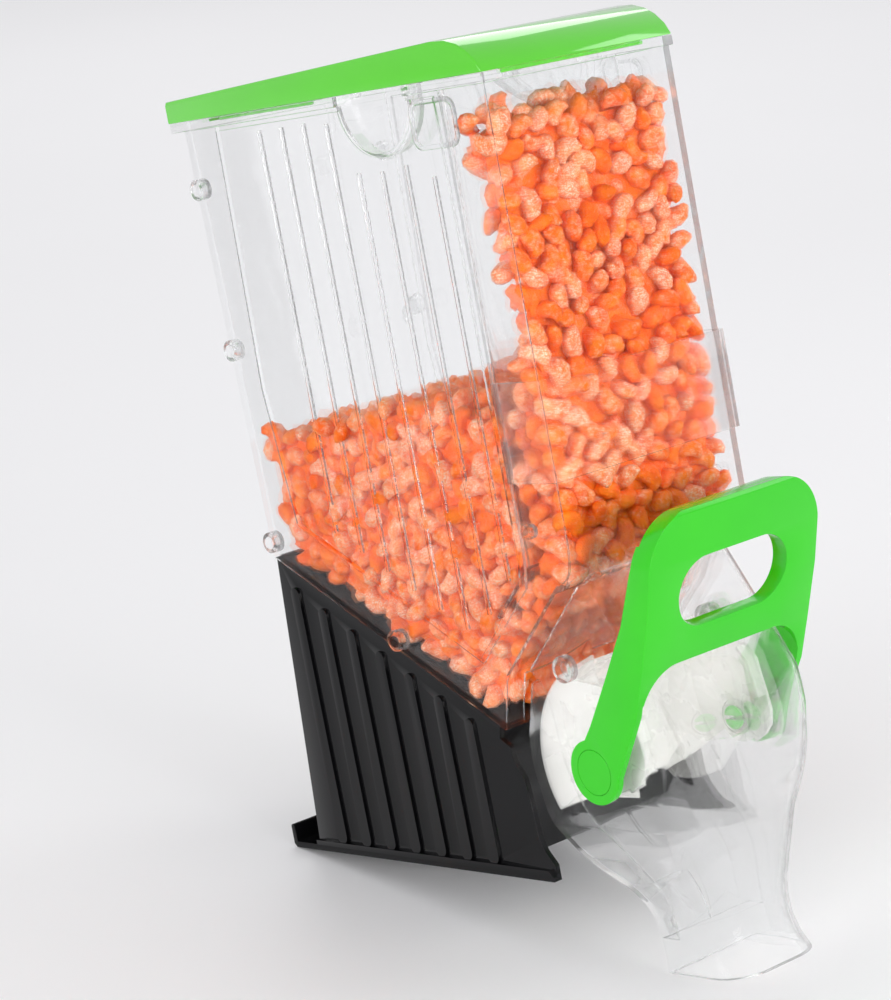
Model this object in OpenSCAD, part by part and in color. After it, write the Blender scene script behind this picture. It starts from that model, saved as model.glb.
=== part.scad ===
// Gravity bulk candy dispenser: a clear hopper with a display column in front,
// a black wedge stand, a lift-off lid and a pull handle that turns a portion gate.
// Units: mm. Origin: centre of the stand's flat resting face. +Z up, the front faces -Y.
// The chute mouth hangs below the resting face, in front of the shelf edge.

/* [Hopper] */
// width of the hopper over its side walls
bin_w = 152; // [148:1:156]
// height of the hopper's rim above the shelf
rim_z = 497; // [490:1:510]
// thickness of the hopper's clear walls
wall_t = 3; // [2.6:0.1:3]
// how far the ribbed side panels are set in
panel_inset = 2.5; // [2:0.1:2.5]
// height of the small ribs on the side panels
panel_rib_h = 1.6; // [1:0.1:2]
// radius of the thumb recess under the lid
thumb_r = 33.5; // [30:0.5:34]

/* [Stand] */
// width of the stand over its side walls
stand_w = 148; // [144:1:149]
// thickness of the stand's walls
stand_t = 3.5; // [3:0.1:4]
// number of raised ribs on each side of the stand
stand_ribs = 7; // [5:1:7]
// how far the ribs stand out
stand_rib_h = 2.4; // [1.5:0.1:3]

/* [Handle and gate] */
// width of the handle over its arms
handle_w = 144; // [140:1:146]
// thickness of each arm at the pivot
arm_t = 5; // [4.5:0.1:5.5]
// outer radius of the gate's curved wall
gate_r = 64.5; // [63:0.5:64.5]
// thickness of the gate's walls
gate_t = 2.5; // [2:0.1:3]
// width of the grip opening
grip_w = 92; // [84:1:96]
// height of the grip opening, along the leaning bar
grip_h = 45; // [40:1:46]

/* [Chute] */
// half width of the chute beside the gate
chute_hw = 59; // [58.8:0.1:59.4]
// thickness of the chute's clear walls
chute_t = 2.5; // [2:0.1:2.6]

/* [Lid] */
// thickness of the lid's skin
lid_t = 2.5; // [2:0.1:3]
// gap between the lid and the rim
lid_gap = 0.3; // [0.2:0.1:0.6]

/* [Hidden] */
$fn = 64;

eps = 0.01;
half = bin_w / 2;
in_x = half - wall_t;
pan_out = half - panel_inset;
pan_in = pan_out - wall_t;

// the sloped floor: height of its underside at a given y
slope_k = 0.5216;
function floor_z(y) = 148.45 + slope_k * y;
floor_n = [-0.4625, 0.8866];

// main lines of the hopper in the side view
front_y = -189;
back_top_y = 114;
back_low_y = 107;
lip_y = -100;
low_front = [-170, 185];
low_end = [-110, 128.7];
low_n = [0.684, 0.729];
div_y = -145.5;
div_t = 2.5;

// pivot shared by the handle and the gate
piv_y = -171;
piv_z = 72.5;
pin_r = 6.5;
bore_r = 6.56;
cap_r = 14.3;
cap_t = 2.5;
arm_out = handle_w / 2;
arm_in = arm_out - arm_t;
run_gap = 0.3;
gate_hw = chute_hw - chute_t - 1;
lean = 21;

clear_plastic = [0.86, 0.92, 0.95, 0.35];
green_plastic = [0.25, 0.85, 0.1];
black_plastic = [0.05, 0.05, 0.06];
milky_plastic = [0.93, 0.93, 0.9, 0.7];
candy_orange = [0.98, 0.45, 0.15];

// ---- helpers -------------------------------------------------------------

// a side-view outline (y, z) given thickness from x0 to x1
module slab(x0, x1) {
    translate([x0, 0, 0])
        rotate([90, 0, 90])
            linear_extrude(height = x1 - x0)
                children();
}

// a front-view outline (x, z) given depth from y0 to y1
module face_slab(y0, y1) {
    translate([0, y1, 0])
        rotate([90, 0, 0])
            linear_extrude(height = y1 - y0)
                children();
}

// the same piece on both sides
module both_sides() {
    children();
    mirror([1, 0, 0])
        children();
}

// a round bar or hole along X
module rod_x(x0, x1, y, z, r) {
    translate([x0, y, z])
        rotate([0, 90, 0])
            cylinder(h = x1 - x0, r = r);
}

// ---- hopper ----------------------------------------------------------------

front_curve = [[front_y, 212], [-188.3, 204], [-186, 197],
    [-181.5, 190.5], [-176, 186.6], low_front];
front_curve_in = [[-169.1, 188.6], [-174.4, 190], [-179, 193.2],
    [-183.2, 198.4], [-185.3, 205], [front_y + wall_t, 212]];

module hopper_outline() {
    polygon(concat(
        [[front_y, rim_z]],
        front_curve,
        [low_end, [lip_y, floor_z(lip_y)],
            [back_low_y, floor_z(back_low_y)], [back_top_y, rim_z]]));
}

panel_outline = [[80, 488], [84.5, 317], [74.6, 228], [-88, 141.5],
    [-138, 188], [-141, 206], [-141, 488]];
panel_lap = [[83, 491], [87.6, 317], [77.2, 226], [-87.6, 137.8],
    [-140.8, 186.6], [-144, 205], [-144, 491]];

thumb_y = -82.5;
thumb_z = 492.3;
thumb_depth = 11.5;
thumb_t = 2.5;

rib_y = [35.5, 12.2, -11, -34, -57, -80, -103.6, -128];
rib_top = [484, 484, 484, 482, 449, 448, 450, 441];
rib_foot = [221, 208, 196, 184, 172, 160, 170, 192];

module side_wall() {
    difference() {
        slab(in_x, half)
            hopper_outline();
        slab(in_x - 1, half + 1)
            polygon(panel_outline);
        rod_x(in_x - 1, half + 1, thumb_y, thumb_z, thumb_r);
    }
    // the inset panel with its ribs
    difference() {
        union() {
            slab(pan_in, pan_out)
                polygon(panel_lap);
            for (i = [0 : len(rib_y) - 1])
                slab(pan_out - eps, pan_out + panel_rib_h)
                    translate([rib_y[i] - 1.5, rib_foot[i]])
                        square([3, rib_top[i] - rib_foot[i]]);
        }
        rod_x(pan_in - 1, half + 1, thumb_y, thumb_z, thumb_r);
    }
    // the thumb recess under the lid
    difference() {
        rod_x(half - thumb_depth - thumb_t, half - wall_t / 2, thumb_y, thumb_z,
            thumb_r + thumb_t);
        rod_x(half - thumb_depth, half + 1, thumb_y, thumb_z, thumb_r);
        translate([half - 50, thumb_y - 60, rim_z])
            cube([60, 120, 60]);
    }
}

module rim_band() {
    difference() {
        translate([-half - 2, front_y - 2, rim_z - 6])
            cube([bin_w + 4, 126 - front_y + 2, 6]);
        translate([-half + wall_t / 2, front_y + wall_t / 2, rim_z - 7])
            cube([bin_w - wall_t, back_top_y - front_y - wall_t, 8]);
        // the band is open where the thumb recesses are
        both_sides()
            rod_x(half - 5, half + 5, thumb_y, thumb_z, thumb_r);
    }
}

module bin_body() {
    color(clear_plastic)
    difference() {
        union() {
            side_wall();
            mirror([1, 0, 0])
                side_wall();
            // front wall down to its curved foot
            translate([-in_x - eps, front_y, 212 - eps])
                cube([2 * in_x + 2 * eps, wall_t, rim_z - 212 + eps]);
            slab(-in_x - eps, in_x + eps)
                polygon(concat(front_curve,
                    [low_end, low_end + wall_t * low_n], front_curve_in));
            // back wall and sloped floor
            slab(-in_x - eps, in_x + eps)
                polygon([[back_low_y, floor_z(back_low_y)], [back_top_y, rim_z],
                    [back_top_y - wall_t, rim_z],
                    [back_low_y - wall_t, floor_z(back_low_y - wall_t)]]);
            slab(-in_x - eps, in_x + eps)
                polygon([[back_low_y, floor_z(back_low_y)],
                    [lip_y, floor_z(lip_y)],
                    [lip_y, floor_z(lip_y)] + wall_t * floor_n,
                    [back_low_y, floor_z(back_low_y)] + wall_t * floor_n]);
            // cheeks that narrow the throat to the gate
            both_sides()
                slab(chute_hw + 1, in_x + eps)
                    polygon([low_end, low_end + wall_t * low_n,
                        [lip_y + 1, floor_z(lip_y) + 3.5], [lip_y, floor_z(lip_y)]]);
            rim_band();
        }
        // keep the inside of the thumb recesses and the rim open
        translate([-in_x - 6, front_y - 5, rim_z])
            cube([bin_w + 12, 400, 20]);
    }
}

stud_yz = [[103, 452.5], [101, 345.6], [99, 216], [-15, 152.5]];
stud_r = 7;
stud_bore = 4.2;
stud_h = 7.5;

module side_studs() {
    color(clear_plastic)
    both_sides() {
        for (p = stud_yz)
            difference() {
                rod_x(half, half + stud_h, p[0], p[1], stud_r);
                rod_x(half + 1.5, half + stud_h + 1, p[0], p[1], stud_bore);
            }
    }
}

// the smaller studs at the foot of the display column
module column_studs() {
    color(clear_plastic)
    both_sides()
        difference() {
            rod_x(half, half + 6, -160.5, 224, 4.6);
            rod_x(half + 1.5, half + 7, -160.5, 224, 2.6);
        }
}

module divider() {
    w = pan_in - 0.4;
    y0 = div_y - div_t / 2;
    y1 = div_y + div_t / 2;
    color(clear_plastic)
    slab(-w, w)
        polygon([[y0, 491], [y1, 491], [y1, 200.6], [-106.2, 168.3],
            [-107.8, 166.4], [y0, 199.5]]);
}

module rounded_box_2d(y0, z0, y1, z1, r) {
    union() {
        translate([y0 + r, z0])
            square([y1 - y0 - 2 * r, z1 - z0]);
        translate([y0, z0 + r])
            square([y1 - y0, z1 - z0 - 2 * r]);
        for (p = [[y0 + r, z0 + r], [y1 - r, z0 + r], [y0 + r, z1 - r], [y1 - r, z1 - r]])
            translate(p)
                circle(r = r);
    }
}

module divider_catches() {
    color(clear_plastic)
    both_sides()
        slab(half, half + 1.8)
            difference() {
                rounded_box_2d(-161, 457, -118.5, 487, 8);
                rounded_box_2d(-158, 460, -121.5, 484, 5.5);
            }
}

// clear ticket sleeve wrapped round the front and both sides
sleeve_t = 2.2;
sleeve_z0 = 253;
sleeve_z1 = 314.5;
sleeve_back_y = -148;
// air between the sleeve and the walls, closed by a lip along each back edge
sleeve_gap = 0.4;
sleeve_lip = 4;

module label_holder() {
    color(clear_plastic)
    difference() {
        translate([-half - sleeve_t, front_y - sleeve_t, sleeve_z0])
            cube([bin_w + 2 * sleeve_t, sleeve_back_y - front_y + sleeve_t,
                sleeve_z1 - sleeve_z0]);
        translate([-half, front_y - sleeve_gap, sleeve_z0 - 1])
            cube([bin_w, 60, sleeve_z1 - sleeve_z0 + 2]);
        translate([-half - sleeve_gap, front_y - sleeve_gap, sleeve_z0 - 1])
            cube([bin_w + 2 * sleeve_gap, sleeve_back_y - front_y + sleeve_gap - sleeve_lip,
                sleeve_z1 - sleeve_z0 + 2]);
    }
}

// ---- chute: one lofted tube, cut into a back trough and a front hood ---------

// each level: height, half width, back y, front y, front corner radius
levels = [
    [-66, 39, -168, -231, 25],
    [-56, 38.2, -167.5, -224.5, 25],
    [-44, 38, -166.5, -219.5, 24],
    [-32, 38.4, -164, -218, 23],
    [-22, 39.8, -159, -218, 23],
    [-14, 42, -152, -218.5, 22],
    [-8, 43.6, -143, -219, 22],
    [0, 46, -129, -219.5, 21],
    [10, 49, -117.5, -220, 20],
    [20, 52, -110, -221, 20],
    [30, 56.2, -106, -223, 19],
    [40, 58.5, -104.3, -226, 18],
    [49, chute_hw, -103.4, -229, 17],
    [60, chute_hw, -100.6, -232, 16],
    [72.5, chute_hw, -99.5, -233.5, 15],
    [85, chute_hw, -100.6, -233.5, 11],
    [95, chute_hw, -103.1, -232, 9],
    [108, chute_hw, -106, -229, 7],
    [128, chute_hw, -108, -217.5, 7],
    [147, chute_hw, -112, -206, 7],
    [170, chute_hw, -130, -192, 7],
    [188, chute_hw, -150, -181, 7]];
arc_n = 7;

function lv(i, k) = levels[i][k];
function grade(i, k) =
    let (a = max(i - 1, 0), b = min(i + 1, len(levels) - 1))
    (lv(b, k) - lv(a, k)) / (lv(b, 0) - lv(a, 0));
function skin(i, k, t) = t * sqrt(1 + pow(grade(i, k), 2));

// points of one level, the wall moved in by t
function ring(i, t) =
    let (hw = lv(i, 1) - skin(i, 1, t), yb = lv(i, 2) - skin(i, 2, t),
        yf = lv(i, 3) + skin(i, 3, t), r = max(lv(i, 4) - t, 1), z = lv(i, 0))
    concat([[-hw, yb, z], [hw, yb, z]],
        [for (k = [0 : arc_n]) let (a = 90 * k / arc_n)
            [hw - r + r * cos(a), yf + r - r * sin(a), z]],
        [for (k = [0 : arc_n]) let (a = 90 - 90 * k / arc_n)
            [-hw + r - r * cos(a), yf + r - r * sin(a), z]]);

ring_n = 2 + 2 * (arc_n + 1);

module loft(t, drop) {
    last = len(levels) - 1;
    pts = concat(
        [for (p = ring(0, t)) [p[0], p[1], p[2] - drop]],
        [for (i = [1 : last - 1]) each ring(i, t)],
        [for (p = ring(last, t)) [p[0], p[1], p[2] + drop]]);
    sides = [for (i = [0 : last - 1]) for (j = [0 : ring_n - 1])
        let (n = (j + 1) % ring_n)
        each [[i * ring_n + j, i * ring_n + n, (i + 1) * ring_n + n],
            [i * ring_n + j, (i + 1) * ring_n + n, (i + 1) * ring_n + j]]];
    polyhedron(points = pts, faces = concat(
        [[for (j = [0 : ring_n - 1]) ring_n - 1 - j]],
        sides,
        [[for (j = [0 : ring_n - 1]) last * ring_n + j]]));
}

module chute_shell() {
    difference() {
        loft(0, 0);
        loft(chute_t, 1);
    }
}

// seam between trough and hood in the side view
seam = [[-118, 125], [-124, 117], [-127, 98], [-129, 75], [-137, 50],
    [-148, 31], [-164, 10], [-175, -6], [-180, -22], [-181, -44]];

module chute_back() {
    color(clear_plastic)
    union() {
        intersection() {
            chute_shell();
            slab(-80, 80)
                polygon(concat(seam,
                    [[-150, -44], [-90, -44], [-90, 94], [-103.5, 94], [-112, 122]]));
        }
        // low rib down the middle of the trough
        slab(-1, 1)
            polygon([[-108, 34], [-116, 17.5], [-133, 0.5], [-150, -11.5],
                [-158, -14.5], [-165, -24], [-169.5, -36], [-171, -43.5],
                [-168.6, -43.5], [-163, -24], [-146, -9], [-121.5, 8], [-110, 22]]);
    }
}

hub_r = 12.5;

module chute_hood() {
    color(clear_plastic)
    difference() {
        union() {
            intersection() {
                chute_shell();
                slab(-80, 80)
                    polygon(concat(seam,
                        [[-150, -44], [-150, -80], [-260, -80], [-260, 190],
                            [-181.3, 190], [-176.4, 186.2], [-170.4, 184.6], [-113, 131]]));
            }
            // pivot bosses that reach out to the handle's arms
            both_sides()
                rod_x(chute_hw - 1, arm_in - run_gap, piv_y, piv_z, hub_r);
        }
        both_sides()
            rod_x(chute_hw - 10, arm_in + 5, piv_y, piv_z, bore_r);
    }
}

boss_y = -150;
boss_z = 134;

module hood_bosses() {
    color(clear_plastic)
    both_sides()
        difference() {
            rod_x(chute_hw, chute_hw + 6, boss_y, boss_z, 8.5);
            rod_x(chute_hw + 1.2, chute_hw + 7, boss_y, boss_z, 5.2);
        }
}

// green split pin, on the right-hand boss only
module hood_fixing_pin() {
    color(green_plastic)
    difference() {
        union() {
            rod_x(chute_hw + 1.2, chute_hw + 9, boss_y, boss_z, 5.1);
            rod_x(chute_hw + 6, chute_hw + 9, boss_y, boss_z, 8);
        }
        translate([chute_hw + 1, boss_y - 7, boss_z - 1.2])
            cube([4, 14, 2.4]);
    }
}

// ---- candy ------------------------------------------------------------------

module candy_front() {
    w = pan_in - 0.5;
    color(candy_orange)
    slab(-w, w)
        polygon([[-185.6, 466], [-166, 474], [-151, 457], [-158, 402], [-163, 328],
            [-149, 300], [-147.3, 290], [-147.3, 199],
            [-108.9, 166.2], [-126, 148.4], [-168.8, 189], [-174, 190.6],
            [-178.6, 193.8], [-182.8, 198.8], [-184.9, 205.4], [-185.6, 212]]);
}

module candy_hopper() {
    w = pan_in - 0.5;
    color(candy_orange)
    slab(-w, w)
        polygon([[-143.6, 286], [-100, 300], [-40, 303], [30, 292], [104, 284],
            [101.6, 206.4], [-97.8, 101.8], [-107.2, 131], [-125.6, 148],
            [-105.4, 168.6], [-143.6, 201]]);
}

// ---- handle -------------------------------------------------------------------

arm_end_r = 20.5;
bar_top = 229;
bar_foot = 135;
top_r = 34;
arch_r = 26;

// side view: the leaning front face, then the back of the bar and the arm
bar_front = [[-189.2, 65.5], [-217, 108], [-228, 134], [-242.5, 170],
    [-251.5, 199], [-258.5, 226]];
arm_rear = [[-257, 228.5], [-245, 230], [-243, 228.5], [-235, 200],
    [-218, 165], [-196, 132], [-175, 102], [-157, 80]];
// the back of the bar between the arms
bar_rear = [[-219.5, 96], [-220, 122], [-221.5, 133], [-229.5, 165],
    [-238, 197], [-246, 240]];

module handle_blank() {
    slab(-arm_out, arm_out)
        polygon(concat(bar_front, arm_rear, [[piv_y, piv_z]]));
    rod_x(-arm_out, arm_out, piv_y, piv_z, arm_end_r);
}

module handle_front_2d() {
    difference() {
        union() {
            translate([-arm_out, 40])
                square([handle_w, bar_top - top_r - 40]);
            translate([-arm_out + top_r, 40])
                square([handle_w - 2 * top_r, bar_top - 40]);
            for (s = [-1, 1])
                translate([s * (arm_out - top_r), bar_top - top_r])
                    circle(r = top_r);
        }
        // the space between the arms, arched at the top
        translate([-arm_in, 0])
            square([2 * arm_in, bar_foot - arch_r]);
        translate([-arm_in + arch_r, 0])
            square([2 * (arm_in - arch_r), bar_foot]);
        for (s = [-1, 1])
            translate([s * (arm_in - arch_r), bar_foot - arch_r])
                circle(r = arch_r);
    }
}

module stadium_2d(w, h) {
    translate([-(w - h) / 2, -h / 2])
        square([w - h, h]);
    for (s = [-1, 1])
        translate([s * (w - h) / 2, 0])
            circle(r = h / 2);
}

module handle() {
    color(green_plastic)
    difference() {
        intersection() {
            handle_blank();
            face_slab(-270, -140)
                handle_front_2d();
        }
        // the bar is a shallow plate between the arms
        slab(-arm_in, arm_in)
            polygon(concat(bar_rear, [[-100, 240], [-100, 96]]));
        // grip opening, square to the leaning bar
        translate([0, -241.5, 176.5])
            rotate([lean, 0, 0])
                face_slab(-40, 40)
                    stadium_2d(grip_w, grip_h);
        both_sides() {
            rod_x(arm_in - 5, arm_out + 5, piv_y, piv_z, bore_r);
            rod_x(arm_out - cap_t - 0.1, arm_out + 5, piv_y, piv_z, cap_r + 0.2);
        }
    }
}

prong_end = 47.5;

// split snap pin: flush cap outside, two prongs inside the gate
module pivot_pin() {
    difference() {
        union() {
            rod_x(arm_out - cap_t, arm_out, piv_y, piv_z, cap_r);
            rod_x(prong_end, arm_out - cap_t + eps, piv_y, piv_z, pin_r);
            rod_x(prong_end + 0.8, bush_x0 - 0.2, piv_y, piv_z, pin_r + 1.2);
        }
        translate([prong_end - 1, piv_y - 9, piv_z - 1.5])
            cube([12, 18, 3]);
    }
}

module pivot_pin_left() {
    color(green_plastic)
    mirror([1, 0, 0])
        pivot_pin();
}

module pivot_pin_right() {
    color(green_plastic)
    pivot_pin();
}

// ---- gate ------------------------------------------------------------------------

// angles in the side view from the pivot, counted from +Y upwards
gate_low = -30;
gate_full_end = 58;
gate_lip_end = 72;
gate_hub_r = 17;
lip_hw = 48;
// front edge of the side plates, as seen from the pivot
plate_front = [[-16, 47], [-23.5, 38], [-25, 28], [-27.5, 15], [-29, 5], [-27, -4],
    [-21, -11], [-12, -16]];

// a wedge of the side view from the pivot, between two angles from +Y
module wedge_2d(a0, a1, r) {
    n = 8;
    polygon(concat([[0, 0]],
        [for (k = [0 : n]) let (a = a0 + (a1 - a0) * k / n) [r * cos(a), r * sin(a)]]));
}

module gate_wall_2d(a1) {
    intersection() {
        difference() {
            circle(r = gate_r, $fn = 128);
            circle(r = gate_r - gate_t, $fn = 128);
        }
        wedge_2d(gate_low, a1, gate_r * 1.2);
    }
}

module gate() {
    color(milky_plastic)
    translate([0, piv_y, piv_z])
    difference() {
        union() {
            // curved wall, with a narrower lip at the top
            slab(-gate_hw, gate_hw)
                gate_wall_2d(gate_full_end);
            slab(-lip_hw, lip_hw)
                gate_wall_2d(gate_lip_end);
            both_sides() {
                slab(gate_hw - gate_t, gate_hw)
                    intersection() {
                        circle(r = gate_r, $fn = 128);
                        wedge_2d(gate_low, gate_full_end, gate_r * 1.2);
                    }
                slab(gate_hw - gate_t, gate_hw)
                    polygon(concat(plate_front, [[0, 0],
                        [gate_r * cos(gate_full_end - 1), gate_r * sin(gate_full_end - 1)]]));
                rod_x(gate_hw - gate_t, gate_hw, 0, 0, gate_hub_r);
                // turned-in flange along the front edge
                slab(gate_hw - 9, gate_hw - gate_t + eps)
                    polygon([[-16, 47], [-23.5, 38], [-25, 28], [-27.5, 15],
                        [-25.3, 15], [-22.8, 28], [-21.5, 37], [-14.4, 45.4]]);
            }
        }
        both_sides()
            rod_x(gate_hw - 10, gate_hw + 5, 0, 0, bore_r);
    }
}

bush_x0 = 50;

module bushing() {
    difference() {
        rod_x(bush_x0, gate_hw - gate_t, piv_y, piv_z, 11.5);
        rod_x(bush_x0 - 1, gate_hw + 1, piv_y, piv_z, bore_r);
    }
}

module bushing_left() {
    color(clear_plastic)
    mirror([1, 0, 0])
        bushing();
}

module bushing_right() {
    color(clear_plastic)
    bushing();
}

// ---- lid ------------------------------------------------------------------------

lid_out = [[128, 0], [128, 12], [126.5, 14.5], [-150, 22.5], [-162, 21.6],
    [-172, 18.6], [-180, 14], [-187, 7.5], [-191.5, 0]];
lid_in = [[128 - lid_t, -1], [125.5, 11.5], [-150, 19.8], [-161, 19],
    [-170.5, 16.2], [-178.3, 11.8], [-184.6, 6], [-188.4, -1]];
// how far the locating strips reach below the rim
strip_drop = 2.5;

module lid() {
    z0 = rim_z + lid_gap;
    color(green_plastic)
    union() {
        translate([0, 0, z0])
            difference() {
                slab(-half - 2, half + 2)
                    polygon(lid_out);
                slab(-half - 2 + lid_t, half + 2 - lid_t)
                    polygon(lid_in);
            }
        // locating strips that drop inside the rim
        translate([-58, -184.6, rim_z - strip_drop])
            cube([116, 2, strip_drop + 9]);
        translate([-58, 106, rim_z - strip_drop])
            cube([116, 2, strip_drop + 14]);
        both_sides()
            slab(in_x - 5.4, in_x - 3.4)
                polygon([[-20, rim_z - strip_drop], [80, rim_z - strip_drop],
                    [80, rim_z + 14.5], [-20, rim_z + 17.5]]);
    }
}

// ---- stand -------------------------------------------------------------------------

stand_edge = [[121, 0], [121, 9], [107, floor_z(107)],
    [-92, floor_z(-92)], [-90.5, 90], [-99, 84.5], [-99.6, 76], [-107, 65],
    [-109.2, 45], [-110.5, 26], [-114, 18.5], [-121, 10], [-121, 0]];
recess_line = [[-92, 97], [-84, 76], [-74, 56], [-64, 38], [-57, 20], [-54, 0]];

module stand_rib(y) {
    z_low = 12;
    z_top = floor_z(y) - 17;
    slab(stand_w / 2 - eps, stand_w / 2 + stand_rib_h)
        union() {
            polygon([[y - 5.4, z_low], [y + 5.4, z_low], [y + 4.2, z_top], [y - 4.2, z_top]]);
            translate([y, z_top])
                circle(r = 4.2);
            translate([y, z_low])
                circle(r = 5.4);
        }
}

module base_stand() {
    s = stand_w / 2;
    t = stand_t;
    color(black_plastic)
    union() {
        both_sides() {
            slab(s - t, s)
                polygon(stand_edge);
            for (i = [0 : stand_ribs - 1])
                stand_rib(92 - i * 26.1);
            // foot flange along the side
            slab(s - eps, s + 3)
                polygon([[121, 0], [121, 7], [-117, 7], [-121, 3], [-121, 0]]);
        }
        // sloped deck under the hopper
        slab(-s, s)
            polygon([[107, floor_z(107)], [-92, floor_z(-92)],
                [-92, floor_z(-92) - t * 1.13], [107, floor_z(107) - t * 1.13]]);
        // back wall
        slab(-s, s)
            polygon([[121, 0], [121, 9], [107, floor_z(107)],
                [107 - t, floor_z(107 - t)], [121 - t, 9], [121 - t, 0]]);
        // recessed front panel
        slab(-s, s)
            polygon(concat(recess_line,
                [[-54 + t, 0], [-57 + t, 20], [-64 + t, 38],
                    [-74 + t, 56], [-84 + t, 76], [-92 + t, 97]]));
        // bottom plate
        slab(-s, s)
            polygon([[121, 0], [121, 3], [-54, 3], [-54, 0]]);
        // rear foot with its turned-up lip
        slab(-s - 3, s + 3)
            union() {
                polygon([[120, 0], [120, 4], [143, 4], [143.4, 14.5],
                    [147, 14.5], [147, 2.5], [144.5, 0]]);
                translate([145.2, 14.5])
                    circle(r = 1.8);
            }
    }
}

// ---- every piece in its place --------------------------------------------------------

base_stand();
bin_body();
side_studs();
column_studs();
divider();
divider_catches();
label_holder();
chute_back();
chute_hood();
hood_bosses();
hood_fixing_pin();
candy_front();
candy_hopper();
handle();
gate();
pivot_pin_left();
pivot_pin_right();
bushing_left();
bushing_right();
lid();
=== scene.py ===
"""Looks, stage and camera for the bulk candy dispenser.

The frame supplies every rigid part. This script rounds the edges of each part, dresses it,
fills the hopper and the display column with sugared gummies, and sets a pale studio round it.
"""

from __future__ import annotations

import bisect
import logging
import math
import random
from dataclasses import dataclass, field
from enum import Enum

import bmesh
import bpy
from mathutils import Euler, Matrix, Vector
from mathutils.bvhtree import BVHTree


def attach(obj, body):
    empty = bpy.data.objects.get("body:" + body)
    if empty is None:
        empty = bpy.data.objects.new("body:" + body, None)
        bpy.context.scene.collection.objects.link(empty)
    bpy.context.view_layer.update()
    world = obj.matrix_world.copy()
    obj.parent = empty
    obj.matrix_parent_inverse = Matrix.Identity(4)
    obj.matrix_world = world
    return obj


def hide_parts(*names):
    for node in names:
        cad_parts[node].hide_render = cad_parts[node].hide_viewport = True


log = logging.getLogger("dispenser")

MM = 0.001
SMOOTH_ANGLE = math.radians(28)
# points of the frame's meshes closer than this are one point
WELD = 0.002 * MM
# a triangle whose normal is at least this steep is the top of a heap
TOP_FACE = 0.8
# how far the gummies on a heap's top sit below and above its level
HEAP_SPREAD = (-4, 5)
# how close to a wall a gummy's middle may come, as a share of the wall gap
WALL_SHARE = 0.9
# how far gummies tip at the wall and behind it, in radians
WALL_LEAN = 0.45
INNER_LEAN = 1.2
GIRTHS = (0.92, 1.14)
TONES = (-0.25, 1.0)
# the share of gummies that are yellow, and what marks them
YELLOW_SHARE = 0.004
YELLOW_MARK = 2.0


class Body(Enum):
    """The moving bodies of the dispenser."""

    BIN = "dispenser"
    GATE = "handle_gate"
    LID = "lid"


class Slot(Enum):
    """The record's material slots."""

    CLEAR = "clear"
    GREEN = "green"
    BLACK = "black"
    MILKY = "milky"
    CANDY = "candy"


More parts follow.
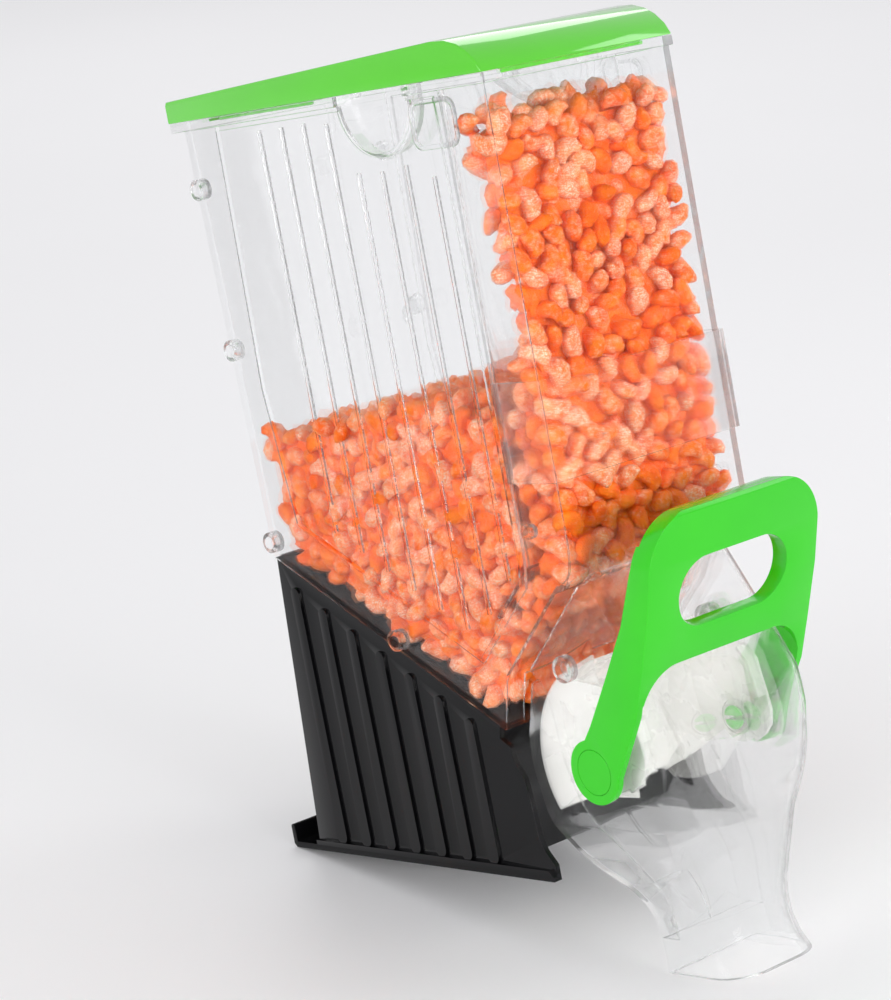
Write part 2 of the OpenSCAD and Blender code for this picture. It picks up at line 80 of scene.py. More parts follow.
class Graph:
    """Short calls for building one material's node tree."""

    def __init__(self, name: str) -> None:
        """Starts an empty tree.

        Args:
            name: the material's name.
        """
        self.material = bpy.data.materials.new(name)
        self.material.use_nodes = True
        self.tree = self.material.node_tree
        self.tree.nodes.clear()
        self.output = self.node("ShaderNodeOutputMaterial")
        self.place = self.node("ShaderNodeTexCoord").outputs["Object"]

    def node(self, kind: str, **settings: object) -> bpy.types.Node:
        """Adds a node.

        Args:
            kind: the node's type name.
            **settings: properties to set on it.

        Returns:
            The node.
        """
        made = self.tree.nodes.new(kind)
        for key, value in settings.items():
            setattr(made, key, value)
        return made

    def link(self, source: bpy.types.NodeSocket, target: bpy.types.NodeSocket) -> None:
        """Joins an output to an input.

        Args:
            source: the output.
            target: the input.
        """
        self.tree.links.new(source, target)

    def noise(self, scale: float, detail: float = 3.0, rough: float = 0.5) -> bpy.types.NodeSocket:
        """Adds a noise pattern.

        Args:
            scale: waves per metre.
            detail: octaves.
            rough: strength of the finer octaves.

        Returns:
            Its value.
        """
        made = self.node("ShaderNodeTexNoise")
        made.inputs["Scale"].default_value = scale
        made.inputs["Detail"].default_value = detail
        made.inputs["Roughness"].default_value = rough
        self.link(self.place, made.inputs["Vector"])
        return made.outputs["Fac"]

    def grains(self, scale: float, feature: str = "F1") -> bpy.types.NodeSocket:
        """Adds a cell pattern and returns the distance in each cell.

        Args:
            scale: cells per metre.
            feature: which distance it gives.

        Returns:
            The distance.
        """
        made = self.node("ShaderNodeTexVoronoi", feature=feature)
        made.inputs["Scale"].default_value = scale
        self.link(self.place, made.inputs["Vector"])
        return made.outputs["Distance"]

    def span(
        self, value: bpy.types.NodeSocket, low: float, high: float, to: tuple[float, float]
    ) -> bpy.types.NodeSocket:
        """Maps a value's range onto another, held at both ends.

        Args:
            value: the socket to read.
            low: the value that becomes to[0].
            high: the value that becomes to[1].
            to: the new range.

        Returns:
            The mapped value.
        """
        made = self.node("ShaderNodeMapRange")
        self.link(value, made.inputs["Value"])
        made.inputs["From Min"].default_value = low
        made.inputs["From Max"].default_value = high
        made.inputs["To Min"].default_value = to[0]
        made.inputs["To Max"].default_value = to[1]
        return made.outputs["Result"]

    def blend(
        self, share: bpy.types.NodeSocket, first: tuple | bpy.types.NodeSocket, second: tuple
    ) -> bpy.types.NodeSocket:
        """Mixes two colours.

        Args:
            share: how much of the second shows.
            first: a colour, or a socket that gives one.
            second: the other colour.

        Returns:
            The mixed colour.
        """
        made = self.node("ShaderNodeMix", data_type="RGBA")
        self.link(share, made.inputs["Factor"])
        if isinstance(first, tuple):
            made.inputs["A"].default_value = (*first, 1.0)
        else:
            self.link(first, made.inputs["A"])
        made.inputs["B"].default_value = (*second, 1.0)
        return made.outputs["Result"]

    def bump(
        self, height: bpy.types.NodeSocket, depth: float, strength: float
    ) -> bpy.types.NodeSocket:
        """Adds a bump and returns its normal.

        Args:
            height: the socket that gives the height.
            depth: full height in metres.
            strength: how much of it shows.

        Returns:
            The normal.
        """
        made = self.node("ShaderNodeBump")
        made.inputs["Distance"].default_value = depth
        made.inputs["Strength"].default_value = strength
        self.link(height, made.inputs["Height"])
        return made.outputs["Normal"]

    def finish(self, shader: bpy.types.NodeSocket) -> bpy.types.Material:
        """Joins the shader to the output.

        Args:
            shader: the finished shader.

        Returns:
            The material.
        """
        self.link(shader, self.output.inputs["Surface"])
        return self.material


@dataclass(frozen=True)
class SeeThrough:
    """Moulded plastic that light passes through.

    Lamps reach what is inside, because shadow rays pass as through thin tinted film.
    """

    name: str
    tint: tuple[float, float, float]
    clarity: float
    smooth: float
    smudged: float
    body: float = 0.5
    ripple: float = 0.12
    shine: float = 0.5
    ior: float = 1.24
    lamp_tint: tuple[float, float, float] = (0.985, 0.985, 0.985)

    def build(self) -> bpy.types.Material:
        """Makes the material."""
        graph = Graph(self.name)
        skin = graph.node("ShaderNodeBsdfPrincipled")
        skin.inputs["Base Color"].default_value = (*self.tint, 1.0)
        skin.inputs["Transmission Weight"].default_value = self.clarity
        skin.inputs["IOR"].default_value = self.ior
        skin.inputs["Alpha"].default_value = self.body
        skin.inputs["Specular IOR Level"].default_value = self.shine
        smear = graph.span(graph.noise(38.0, 4.0), 0.42, 0.7, (self.smooth, self.smudged))
        graph.link(smear, skin.inputs["Roughness"])
        ripple = graph.noise(24.0, 2.0)
        graph.link(graph.bump(ripple, 0.0006, self.ripple), skin.inputs["Normal"])
        film = graph.node("ShaderNodeBsdfTransparent")
        film.inputs["Color"].default_value = (*self.lamp_tint, 1.0)
        mix = graph.node("ShaderNodeMixShader")
        path = graph.node("ShaderNodeLightPath")
        graph.link(path.outputs["Is Shadow Ray"], mix.inputs["Fac"])
        graph.link(skin.outputs["BSDF"], mix.inputs[1])
        graph.link(film.outputs["BSDF"], mix.inputs[2])
        return graph.finish(mix.outputs["Shader"])


@dataclass(frozen=True)
class Gloss:
    """Opaque glossy moulded plastic with a fine moulding ripple and light handling marks."""

    name: str
    colour: tuple[float, float, float]
    shade: tuple[float, float, float]
    smooth: float
    worn: float
    specular: float = 0.5
    coat: float = 0.0

    def build(self) -> bpy.types.Material:
        """Makes the material."""
        graph = Graph(self.name)
        skin = graph.node("ShaderNodeBsdfPrincipled")
        cloud = graph.span(graph.noise(14.0, 3.0), 0.35, 0.7, (0.0, 1.0))
        graph.link(graph.blend(cloud, self.colour, self.shade), skin.inputs["Base Color"])
        marks = graph.span(graph.noise(210.0, 5.0, 0.6), 0.5, 0.75, (self.smooth, self.worn))
        graph.link(marks, skin.inputs["Roughness"])
        skin.inputs["Specular IOR Level"].default_value = self.specular
        skin.inputs["Coat Weight"].default_value = self.coat
        skin.inputs["Coat Roughness"].default_value = 0.04
        peel = graph.noise(420.0, 2.0)
        graph.link(graph.bump(peel, 0.00006, 0.25), skin.inputs["Normal"])
        return graph.finish(skin.outputs["BSDF"])


@dataclass(frozen=True)
class SugarCoat:
    """Orange gummy under coarse sugar: pale crystals over a deep jelly colour."""

    name: str
    jelly: tuple[float, float, float]
    deep: tuple[float, float, float]
    sugar: tuple[float, float, float]
    yellow: tuple[float, float, float]
    crystal: float = 0.0011

    def build(self) -> bpy.types.Material:
        """Makes the material. Each piece's own "tone" attribute sets how sugared it is."""
        graph = Graph(self.name)
        tone = graph.node("ShaderNodeAttribute", attribute_name="tone").outputs["Fac"]
        skin = graph.node("ShaderNodeBsdfPrincipled")
        cloud = graph.span(graph.noise(90.0, 2.0), 0.35, 0.7, (0.0, 1.0))
        body = graph.blend(cloud, self.jelly, self.deep)
        patches = graph.noise(230.0, 4.0, 0.65)
        cells = graph.grains(1.0 / self.crystal)
        sum_node = graph.node("ShaderNodeMath", operation="MULTIPLY_ADD")
        graph.link(tone, sum_node.inputs[0])
        sum_node.inputs[1].default_value = 0.34
        graph.link(patches, sum_node.inputs[2])
        crust = graph.span(sum_node.outputs[0], 0.52, 0.86, (0.0, 1.0))
        speck = graph.span(cells, 0.25, 0.6, (1.0, 0.25))
        cover = graph.node("ShaderNodeMath", operation="MULTIPLY")
        graph.link(crust, cover.inputs[0])
        graph.link(speck, cover.inputs[1])
        frosted = graph.blend(cover.outputs[0], body, self.sugar)
        is_yellow = graph.span(tone, 1.4, 1.5, (0.0, 1.0))
        graph.link(graph.blend(is_yellow, frosted, self.yellow), skin.inputs["Base Color"])
        skin.inputs["Roughness"].default_value = 0.5
        skin.inputs["Specular IOR Level"].default_value = 0.3
        graph.link(graph.bump(cells, 0.0006, 0.85), skin.inputs["Normal"])
        return graph.finish(skin.outputs["BSDF"])


@dataclass(frozen=True)
class Ground:
    """The matt pale sweep that the dispenser stands on."""

    name: str
    colour: tuple[float, float, float]

    def build(self) -> bpy.types.Material:
        """Makes the material."""
        graph = Graph(self.name)
        skin = graph.node("ShaderNodeBsdfPrincipled")
        cloud = graph.span(graph.noise(1.4, 2.0), 0.3, 0.7, (0.0, 1.0))
        dim = tuple(0.985 * c for c in self.colour)
        graph.link(graph.blend(cloud, self.colour, dim), skin.inputs["Base Color"])
        skin.inputs["Roughness"].default_value = 0.55
        skin.inputs["Specular IOR Level"].default_value = 0.25
        return graph.finish(skin.outputs["BSDF"])


CLEAR = SeeThrough(
    "clear_moulding", tint=(0.995, 1.0, 1.0), clarity=1.0, smooth=0.01, smudged=0.03, body=0.8
)
CLEAR_CHUTE = SeeThrough(
    "clear_chute",
    tint=(0.985, 0.99, 0.99),
    clarity=0.99,
    smooth=0.015,
    smudged=0.05,
    body=0.7,
    ripple=0.03,
    ior=1.2,
)
MILKY = SeeThrough(
    "milky_gate",
    tint=(0.95, 0.94, 0.92),
    clarity=0.3,
    smooth=0.26,
    smudged=0.36,
    body=0.8,
    ripple=0.01,
    ior=1.4,
    lamp_tint=(0.92, 0.92, 0.90),
)
GREEN = Gloss("green_gloss", (0.03, 0.63, 0.004), (0.026, 0.58, 0.004), 0.1, 0.18)
LID_GREEN = Gloss("lid_green", (0.085, 0.63, 0.001), (0.08, 0.60, 0.001), 0.1, 0.18, 0.6, 0.8)
BLACK = Gloss("black_gloss", (0.0035, 0.0035, 0.004), (0.005, 0.005, 0.006), 0.08, 0.2, 0.26)
CANDY = SugarCoat(
    "sugared_gummy", (1.0, 0.21, 0.003), (0.95, 0.11, 0.002), (1.0, 0.74, 0.55), (1.0, 0.50, 0.02)
)
JELLY = Gloss("jelly_mass", (1.0, 0.24, 0.05), (0.95, 0.18, 0.03), 0.5, 0.6)


@dataclass
class RoundedPart:
    """One part of the frame, with its sharp edges eased as moulding leaves them."""

    node: str
    body: Body
    slot: Slot
    finish: SeeThrough | Gloss
    ease: float = 0.5 * MM
    steps: int = 2
    flat_angle: float = 0.6

    def merged(self) -> bmesh.types.BMesh:
        """Returns a welded copy of the part's mesh, with its flat faces made whole."""
        work = bmesh.new()
        work.from_mesh(self.frame_object().data)
        bmesh.ops.remove_doubles(work, verts=work.verts, dist=WELD)
        bmesh.ops.dissolve_limit(
            work, angle_limit=math.radians(self.flat_angle), verts=work.verts, edges=work.edges
        )
        return work

    def frame_object(self) -> bpy.types.Object:
        """Returns the frame's own object for this part."""
        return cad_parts[self.node]

    def build(self, materials: "Palette") -> bpy.types.Object:
        """Makes the eased copy, dresses it and hides the frame's part.

        Args:
            materials: the finishes already built.

        Returns:
            The new piece.
        """
        work = self.merged()
        if self.ease:
            sharp = [
                edge
                for edge in work.edges
                if edge.is_manifold and edge.calc_face_angle(0.0) > SMOOTH_ANGLE
            ]
            bmesh.ops.bevel(
                work,
                geom=sharp,
                offset=self.ease,
                segments=self.steps,
                profile=0.5,
                affect="EDGES",
                clamp_overlap=True,
            )
        mesh = bpy.data.meshes.new(f"{self.node}_skin")
        work.to_mesh(mesh)
        work.free()
        mesh.shade_smooth()
        mesh.set_sharp_from_angle(angle=SMOOTH_ANGLE)
        piece = bpy.data.objects.new(f"{self.node}_skin", mesh)
        bpy.context.collection.objects.link(piece)
        mesh.materials.append(materials.of(self.finish))
        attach(piece, self.body.value)
        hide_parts(self.node)
        return piece


class Palette:
    """Keeps one material for each finish."""

    def __init__(self) -> None:
        """Starts with no material made."""
        self.made: dict[str, bpy.types.Material] = {}

    def of(self, finish: SeeThrough | Gloss | SugarCoat | Ground) -> bpy.types.Material:
        """Gives the finish's material, made on first use.

        Args:
            finish: the look wanted.

        Returns:
            The material.
        """
        if finish.name not in self.made:
            self.made[finish.name] = finish.build()
        return self.made[finish.name]


@dataclass
class GummyShape:
    """A crescent of jelly: a bent, tapered bar that is fatter in the middle."""

    name: str
    bend: float
    radius: float = 6.6 * MM
    wide: float = 6.2 * MM
    thick: float = 5.6 * MM
    rings: int = 6
    sides: int = 8

    def build(self) -> bpy.types.Object:
        """Makes the crescent as a small closed mesh."""
        work = bmesh.new()
        loops = []
        half = self.bend / 2
        for i in range(self.rings):
            share = i / (self.rings - 1)
            turn = (share - 0.5) * self.bend * 0.9
            fat = math.sqrt(max(0.0, 1 - (2 * share - 1) ** 2 * 0.78))
            loop = []
            for k in range(self.sides):
                around = 2 * math.pi * k / self.sides
                reach = self.radius + self.wide * fat * math.cos(around)
                loop.append(
                    work.verts.new(
                        (
                            reach * math.sin(turn),
                            reach * math.cos(turn) - self.radius * math.cos(half * 0.5),
                            self.thick * fat * math.sin(around),
                        )
                    )
                )
            loops.append(loop)
        for one, two in zip(loops, loops[1:]):
            for k in range(self.sides):
                nxt = (k + 1) % self.sides
                work.faces.new((one[k], one[nxt], two[nxt], two[k]))
        for loop, away in ((loops[0], -1), (loops[-1], 1)):
            turn = away * self.bend * 0.5
            tip = work.verts.new(
                (
                    self.radius * math.sin(turn * 1.12),
                    self.radius * math.cos(turn * 1.12) - self.radius * math.cos(half * 0.5),
                    0.0,
                )
            )
            for k in range(self.sides):
                nxt = (k + 1) % self.sides
                work.faces.new((loop[k], loop[nxt], tip))
        bmesh.ops.recalc_face_normals(work, faces=work.faces)
        mesh = bpy.data.meshes.new(self.name)
        work.to_mesh(mesh)
        work.free()
        mesh.shade_smooth()
        made = bpy.data.objects.new(self.name, mesh)
        return made


class ScatterTree:
    """A geometry-nodes tree that sets one of several shapes on each point of a mesh.

    Each point carries its own turn, size and tone. The tree ends in plain, dressed faces.
    """

    def __init__(
        self, name: str, shapes: list[bpy.types.Object], material: bpy.types.Material
    ) -> None:
        """Builds the tree.

        Args:
            name: the tree's name.
            shapes: the shapes to choose from.
            material: what the faces wear.
        """
        tree = bpy.data.node_groups.new(name, "GeometryNodeTree")
        self.tree = tree
        face = tree.interface
        face.new_socket("Geometry", in_out="INPUT", socket_type="NodeSocketGeometry")
        size = face.new_socket("Size", in_out="INPUT", socket_type="NodeSocketFloat")
        seed = face.new_socket("Seed", in_out="INPUT", socket_type="NodeSocketInt")
        self.size, self.seed = size.identifier, seed.identifier
        face.new_socket("Geometry", in_out="OUTPUT", socket_type="NodeSocketGeometry")
        entry = tree.nodes.new("NodeGroupInput")
        leave = tree.nodes.new("NodeGroupOutput")
        gather = tree.nodes.new("GeometryNodeGeometryToInstance")
        for shape in reversed(shapes):
            info = tree.nodes.new("GeometryNodeObjectInfo")
            info.inputs["Object"].default_value = shape
            tree.links.new(info.outputs["Geometry"], gather.inputs[0])
        pick = tree.nodes.new("FunctionNodeRandomValue")
        pick.data_type = "INT"
        pick.inputs[4].default_value = 0
        pick.inputs[5].default_value = len(shapes) - 1
        tree.links.new(entry.outputs["Seed"], pick.inputs["Seed"])
        place = tree.nodes.new("GeometryNodeInstanceOnPoints")
        place.inputs["Pick Instance"].default_value = True
        tree.links.new(entry.outputs["Geometry"], place.inputs["Points"])
        tree.links.new(gather.outputs["Instances"], place.inputs["Instance"])
        tree.links.new(pick.outputs[2], place.inputs["Instance Index"])
        turn = self._named("turn", "FLOAT_VECTOR")
        to_turn = tree.nodes.new("FunctionNodeEulerToRotation")
        tree.links.new(turn, to_turn.inputs["Euler"])
        tree.links.new(to_turn.outputs["Rotation"], place.inputs["Rotation"])
        grow = tree.nodes.new("ShaderNodeMath")
        grow.operation = "MULTIPLY"
        tree.links.new(self._named("girth", "FLOAT"), grow.inputs[0])
        tree.links.new(entry.outputs["Size"], grow.inputs[1])
        tree.links.new(grow.outputs[0], place.inputs["Scale"])
        real = tree.nodes.new("GeometryNodeRealizeInstances")
        dress = tree.nodes.new("GeometryNodeSetMaterial")
        dress.inputs["Material"].default_value = material
        tree.links.new(place.outputs["Instances"], real.inputs["Geometry"])
        tree.links.new(real.outputs["Geometry"], dress.inputs["Geometry"])
        tree.links.new(dress.outputs["Geometry"], leave.inputs["Geometry"])

    def _named(self, name: str, kind: str) -> bpy.types.NodeSocket:
        """Reads one of the points' own values.

        Args:
            name: the value's name.
            kind: its data type.

        Returns:
            The socket that gives it.
        """
        made = self.tree.nodes.new("GeometryNodeInputNamedAttribute")
        made.data_type = kind
        made.inputs["Name"].default_value = name
        return next(out for out in made.outputs if out.enabled)

    def bake(self, points: bpy.types.Object, name: str, size: float, seed: int) -> bpy.types.Object:
        """Runs the tree on the points and returns the result as a plain mesh piece.

        Args:
            points: the object whose vertices are the places.
            name: the new piece's name.
            size: a scale for every shape.
            seed: the choice of shapes.

        Returns:
            The new piece.
        """
        modifier = points.modifiers.new("scatter", "NODES")
        modifier.node_group = self.tree
        modifier[self.size] = size
        modifier[self.seed] = seed
        points.update_tag()
        seen = points.evaluated_get(bpy.context.evaluated_depsgraph_get())
        mesh = bpy.data.meshes.new_from_object(seen)
        points.modifiers.remove(modifier)
        bpy.data.objects.remove(points)
        piece = bpy.data.objects.new(name, mesh)
        bpy.context.collection.objects.link(piece)
        return piece


@dataclass
class CandyFill:
    """Loose gummies packed against the walls of one space, over a plain heart of jelly."""

    node: str
    name: str
    seed: int
    spacing: float = 12.0 * MM
    wall_gap: float = 5.3 * MM
    heart_depth: float = 9 * MM
    size: float = 1.0
    layer: float = 8.5 * MM
    layers: int = 3
    tries: int = 26000
    spots: list[tuple[Vector, Vector, int]] = field(default_factory=list)

    def surface(self) -> tuple[BVHTree, list[tuple[Vector, Vector, Vector, Vector]], list[float]]:
        """Returns the fill's search tree, its triangles with normals, and their running areas."""
        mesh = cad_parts[self.node].data
        mesh.calc_loop_triangles()
        corners = [v.co.copy() for v in mesh.vertices]
        faces = [tuple(t.vertices) for t in mesh.loop_triangles]
        tree = BVHTree.FromPolygons(corners, faces)
        triangles, areas, total = [], [], 0.0
        for a, b, c in faces:
            across = (corners[b] - corners[a]).cross(corners[c] - corners[a])
            if across.length < 1e-12:
                continue
            total += across.length / 2
            triangles.append((corners[a], corners[b], corners[c], across.normalized()))
            areas.append(total)
        return tree, triangles, areas

    def fill(self) -> None:
        """Finds a place for each gummy, layer by layer from the walls inwards."""
        dice = random.Random(self.seed)
        tree, triangles, areas = self.surface()
        cells: dict[tuple[int, int, int], list[Vector]] = {}
        for depth in range(self.layers):
            inset = self.wall_gap + depth * self.layer
            for _ in range(self.tries // (depth + 1)):
                pick = dice.random() * areas[-1]
                a, b, c, out = triangles[bisect.bisect_left(areas, pick)]
                u, v = dice.random(), dice.random()
                if u + v > 1:
                    u, v = 1 - u, 1 - v
                top = out.z > TOP_FACE
                spot = a + u * (b - a) + v * (c - a) - out * inset
                if top:
                    spot += Vector((0, 0, dice.uniform(*HEAP_SPREAD) * MM))
                near = tree.find_nearest(spot)
                outside = (spot - near[0]).dot(near[1]) > 0
                if not top and (near[3] < self.wall_gap * WALL_SHARE or outside):
                    continue
                key = tuple(int(math.floor(n / self.spacing)) for n in spot)
                if self._crowded(cells, key, spot):
                    continue
                cells.setdefault(key, []).append(spot)
                self.spots.append((spot, out, depth if not top else -1))

    def _crowded(
        self, cells: dict[tuple[int, int, int], list[Vector]], key: tuple[int, ...], spot: Vector
    ) -> bool:
        """Tells whether another gummy is already closer than the spacing.

        Args:
            cells: the places taken, by cell.
            key: the cell that the place is in.
            spot: the place to test.

        Returns:
            True if it is too close.
        """
        for i in (-1, 0, 1):
            for j in (-1, 0, 1):
                for k in (-1, 0, 1):
                    for other in cells.get((key[0] + i, key[1] + j, key[2] + k), ()):
                        if (other - spot).length < self.spacing:
                            return True
        return False

    def points(self) -> bpy.types.Object:
        """Makes a mesh with one vertex a gummy, carrying its turn, girth and tone."""
        dice = random.Random(self.seed + 1)
        mesh = bpy.data.meshes.new(f"{self.name}_points")
        mesh.from_pydata([s[0] for s in self.spots], [], [])
        turns: list[float] = []
        girths: list[float] = []
        tones: list[float] = []
        for _, out, depth in self.spots:
            facing = out.to_track_quat("Z", "Y").to_matrix()
            spin = Matrix.Rotation(dice.uniform(0, 2 * math.pi), 3, "Z")
            lean = WALL_LEAN if depth == 0 else INNER_LEAN
            tilt = Euler((dice.gauss(0, lean), dice.gauss(0, lean), 0)).to_matrix()
            turns.extend((facing @ tilt @ spin).to_euler())
            girths.append(dice.uniform(*GIRTHS))
            tone = dice.uniform(*TONES)
            tones.append(tone + (0.0 if dice.random() > YELLOW_SHARE else YELLOW_MARK))
        for name, kind, part, values in (
            ("turn", "FLOAT_VECTOR", "vector", turns),
            ("girth", "FLOAT", "value", girths),
            ("tone", "FLOAT", "value", tones),
        ):
            mesh.attributes.new(name, kind, "POINT").data.foreach_set(part, values)
        made = bpy.data.objects.new(f"{self.name}_points", mesh)
        bpy.context.collection.objects.link(made)
        return made

    def heart(self) -> bpy.types.Mesh:
        """Makes the solid mass behind the gummies: the space, drawn in from its walls."""
        work = bmesh.new()
        work.from_mesh(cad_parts[self.node].data)
        bmesh.ops.remove_doubles(work, verts=work.verts, dist=WELD)
        work.normal_update()
        moves = [v.normal * min(v.calc_shell_factor(), 2.0) * self.heart_depth for v in work.verts]
        for vert, move in zip(work.verts, moves):
            vert.co -= move
        mesh = bpy.data.meshes.new(f"{self.name}_heart")
        work.to_mesh(mesh)
        work.free()
        return mesh

    def add_heart(self, piece: bpy.types.Object, materials: Palette) -> None:
        """Joins the heart to the gummies, as their second material.

        Args:
            piece: the gummies.
            materials: the finishes already built.
        """
        mesh = self.heart()
        both = bmesh.new()
        both.from_mesh(piece.data)
        count = len(both.faces)
        both.from_mesh(mesh)
        both.faces.ensure_lookup_table()
        for face in both.faces[count:]:
            face.material_index = 1
        both.to_mesh(piece.data)
        both.free()
        piece.data.materials.append(materials.of(JELLY))
        bpy.data.meshes.remove(mesh)

    def build(self, scatter: ScatterTree, materials: Palette) -> bpy.types.Object:
        """Packs the space and makes its gummies and their heart.

        Args:
            scatter: the tree that sets shapes on points.
            materials: the finishes already built.

        Returns:
            The gummies as one piece.
        """
        self.fill()
        piece = scatter.bake(self.points(), self.name, self.size, self.seed)
        self.add_heart(piece, materials)
        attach(piece, Body.BIN.value)
        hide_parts(self.node)
        return piece


@dataclass
class Housing:
    """The clear hopper with everything that is fixed to it, and the stand under it."""

    parts: tuple[RoundedPart, ...] = (
        RoundedPart("base_stand", Body.BIN, Slot.BLACK, BLACK, 0.8 * MM),
        RoundedPart("bin_body", Body.BIN, Slot.CLEAR, CLEAR, 0.35 * MM, 1),
        RoundedPart("side_studs", Body.BIN, Slot.CLEAR, CLEAR, 0.5 * MM),
        RoundedPart("column_studs", Body.BIN, Slot.CLEAR, CLEAR, 0.4 * MM),
        RoundedPart("divider", Body.BIN, Slot.CLEAR, CLEAR, 0.3 * MM),
        RoundedPart("divider_catches", Body.BIN, Slot.CLEAR, CLEAR, 0.4 * MM),
        RoundedPart("label_holder", Body.BIN, Slot.CLEAR, CLEAR, 0.4 * MM),
        RoundedPart("chute_back", Body.BIN, Slot.CLEAR, CLEAR_CHUTE, 0.0, 1, 0.02),
        RoundedPart("chute_hood", Body.BIN, Slot.CLEAR, CLEAR_CHUTE, 0.0, 1, 0.02),
        RoundedPart("hood_bosses", Body.BIN, Slot.CLEAR, CLEAR, 0.4 * MM),
        RoundedPart("hood_fixing_pin", Body.BIN, Slot.GREEN, GREEN, 0.4 * MM),
    )

    def build(self, materials: Palette) -> None:
        """Makes every part of the housing.

        Args:
            materials: the finishes already built.
        """
        for part in self.parts:
            piece = part.build(materials)
            log.info("made %s", piece.name)


@dataclass
class GateDrive:
    """The pull handle, the gate and the pins that join them."""

    parts: tuple[RoundedPart, ...] = (
        RoundedPart("handle", Body.GATE, Slot.GREEN, GREEN, 2.0 * MM, 4),
        RoundedPart("gate", Body.GATE, Slot.MILKY, MILKY, 0.0, 1, 0.02),
        RoundedPart("pivot_pin_left", Body.GATE, Slot.GREEN, GREEN, 0.35 * MM),
        RoundedPart("pivot_pin_right", Body.GATE, Slot.GREEN, GREEN, 0.35 * MM),
        RoundedPart("bushing_left", Body.GATE, Slot.CLEAR, CLEAR, 0.4 * MM),
        RoundedPart("bushing_right", Body.GATE, Slot.CLEAR, CLEAR, 0.4 * MM),
    )

    def build(self, materials: Palette) -> None:
        """Makes every part that turns with the handle.

        Args:
            materials: the finishes already built.
        """
        for part in self.parts:
            piece = part.build(materials)
            log.info("made %s", piece.name)


@dataclass
class Lid:
    """The lift-off lid."""

    part: RoundedPart = field(
        default_factory=lambda: RoundedPart("lid", Body.LID, Slot.GREEN, LID_GREEN, 1.0 * MM, 3)
    )

    def build(self, materials: Palette) -> None:
        """Makes the lid.

        Args:
            materials: the finishes already built.
        """
        log.info("made %s", self.part.build(materials).name)


@dataclass
class Candy:
    """The gummies in the hopper and in the display column."""

    fills: tuple[CandyFill, ...] = (
        CandyFill("candy_front", "gummies_front", 11, layers=3),
        CandyFill(
            "candy_hopper", "gummies_hopper", 23, layers=2, tries=30000, heart_depth=6.5 * MM
        ),
    )

    def build(self, materials: Palette) -> None:
        """Makes the shapes, the scatter tree and both fills.

        Args:
            materials: the finishes already built.
        """
        shapes = [
            GummyShape("gummy_curl", math.radians(190)).build(),
            GummyShape("gummy_slice", math.radians(150), radius=7.8 * MM).build(),
            GummyShape("gummy_lump", math.radians(125), radius=7.6 * MM, wide=6.8 * MM).build(),
        ]
        scatter = ScatterTree("set_gummies", shapes, materials.of(CANDY))
        for one in self.fills:
            piece = one.build(scatter, materials)
            log.info("made %s with %d gummies", piece.name, len(one.spots))
        for shape in shapes:
            bpy.data.objects.remove(shape)


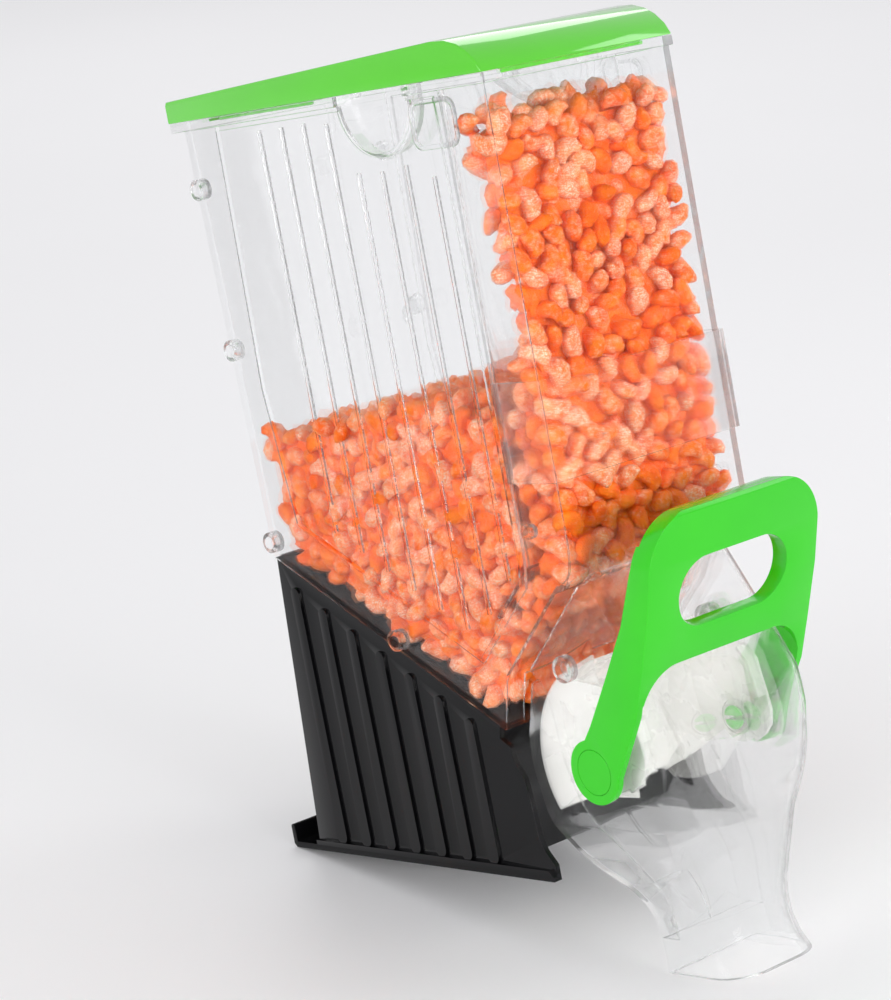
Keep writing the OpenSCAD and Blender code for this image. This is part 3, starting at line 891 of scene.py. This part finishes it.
@dataclass
class Stage:
    """The pale sweep, the studio lights and the camera."""

    touch_front: tuple[float, float] = (-0.168, -0.066)
    touch_back: tuple[float, float] = (0.1445, 0.0)
    reach: float = 14.0
    aim: tuple[float, float, float] = (-0.0272, -0.0224, 0.2315)
    distance: float = 2.006
    azimuth: float = -38.61
    elevation: float = 8.42
    roll: float = -10.63
    lens: float = 112.6

    def slope(self) -> float:
        """Returns how far the floor tips up towards the back, in radians."""
        rise = self.touch_back[1] - self.touch_front[1]
        return math.atan2(rise, self.touch_back[0] - self.touch_front[0])

    def floor_frame(self) -> Matrix:
        """Returns the floor's own axes and origin, in the row's frame."""
        turn = Matrix.Rotation(self.slope(), 4, "X")
        return Matrix.Translation((0, *self.touch_front)) @ turn

    def build_floor(self, materials: Palette) -> None:
        """Lays the sweep under the two places where the dispenser rests.

        Args:
            materials: the finishes already built.
        """
        at = self.floor_frame()
        corners = [(-1, -1), (1, -1), (1, 1), (-1, 1)]
        mesh = bpy.data.meshes.new("sweep")
        spots = [at @ Vector((x * self.reach, y * self.reach, -0.0003)) for x, y in corners]
        mesh.from_pydata(spots, [], [(0, 1, 2, 3)])
        mesh.materials.append(materials.of(Ground("pale_sweep", (0.915, 0.91, 0.92))))
        floor = bpy.data.objects.new("sweep", mesh)
        bpy.context.collection.objects.link(floor)

    def build_light(self) -> None:
        """Sets soft boxes over and beside the dispenser, and a pale surround."""
        at = self.floor_frame()
        boxes = (
            ("back_box", (2.4, 3.0, 2.6), (2.0, 2.0), 20.0),
            ("left_box", (-2.4, 0.1, 0.8), (1.0, 1.2), 17.0),
            ("right_box", (1.7, -0.6, 1.2), (0.6, 1.5), 6.0),
            ("front_box", (0.1, -2.7, 0.8), (1.4, 0.8), 24.0),
        )
        for name, place, size, power in boxes:
            data = bpy.data.lights.new(name, "AREA")
            data.shape = "RECTANGLE"
            data.size, data.size_y = size
            data.energy = power
            lamp = bpy.data.objects.new(name, data)
            bpy.context.collection.objects.link(lamp)
            spot = at @ Vector(place)
            way = Vector((0, -0.03, 0.2)) - spot
            turn = way.to_track_quat("-Z", "Y").to_matrix().to_4x4()
            lamp.matrix_world = Matrix.Translation(spot) @ turn
        world = bpy.data.worlds.new("studio")
        world.use_nodes = True
        tree = world.node_tree
        tree.nodes["Background"].inputs["Color"].default_value = (0.985, 0.985, 1.0, 1.0)
        tree.nodes["Background"].inputs["Strength"].default_value = 0.75
        bpy.context.scene.world = world

    def build_camera(self) -> None:
        """Sets the camera at the wanted angle, tipped to its left."""
        across, up = math.radians(self.azimuth), math.radians(self.elevation)
        back = Vector(
            (math.sin(across) * math.cos(up), -math.cos(across) * math.cos(up), math.sin(up))
        )
        right = (-back).cross(Vector((0, 0, 1))).normalized()
        above = right.cross(-back)
        lean = math.radians(self.roll)
        side = math.cos(lean) * right + math.sin(lean) * above
        head = -math.sin(lean) * right + math.cos(lean) * above
        turn = Matrix((side, head, back)).transposed().to_4x4()
        data = bpy.data.cameras.new("camera")
        data.lens = self.lens
        data.sensor_width = 36.0
        data.sensor_fit = "AUTO"
        data.clip_start, data.clip_end = 0.05, 60.0
        camera = bpy.data.objects.new("camera", data)
        bpy.context.collection.objects.link(camera)
        camera.matrix_world = Matrix.Translation(Vector(self.aim) + back * self.distance) @ turn
        bpy.context.scene.camera = camera

    def build(self, materials: Palette) -> None:
        """Makes the whole stage.

        Args:
            materials: the finishes already built.
        """
        self.build_floor(materials)
        self.build_light()
        self.build_camera()
        bpy.context.scene.view_settings.view_transform = "Standard"
        log.info("made the stage")


def main() -> None:
    """Builds the stage, then the dispenser's pieces in order."""
    materials = Palette()
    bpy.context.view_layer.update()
    Stage().build(materials)
    Housing().build(materials)
    GateDrive().build(materials)
    Lid().build(materials)
    Candy().build(materials)


logging.basicConfig(level=logging.INFO, format="%(message)s")
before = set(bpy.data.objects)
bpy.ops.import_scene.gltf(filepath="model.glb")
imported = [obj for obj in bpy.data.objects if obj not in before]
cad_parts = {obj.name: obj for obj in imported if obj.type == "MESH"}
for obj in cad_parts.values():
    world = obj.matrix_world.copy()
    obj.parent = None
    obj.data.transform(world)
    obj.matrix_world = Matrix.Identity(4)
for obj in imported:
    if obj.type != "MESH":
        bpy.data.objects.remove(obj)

if __name__ == "__main__":
    main()
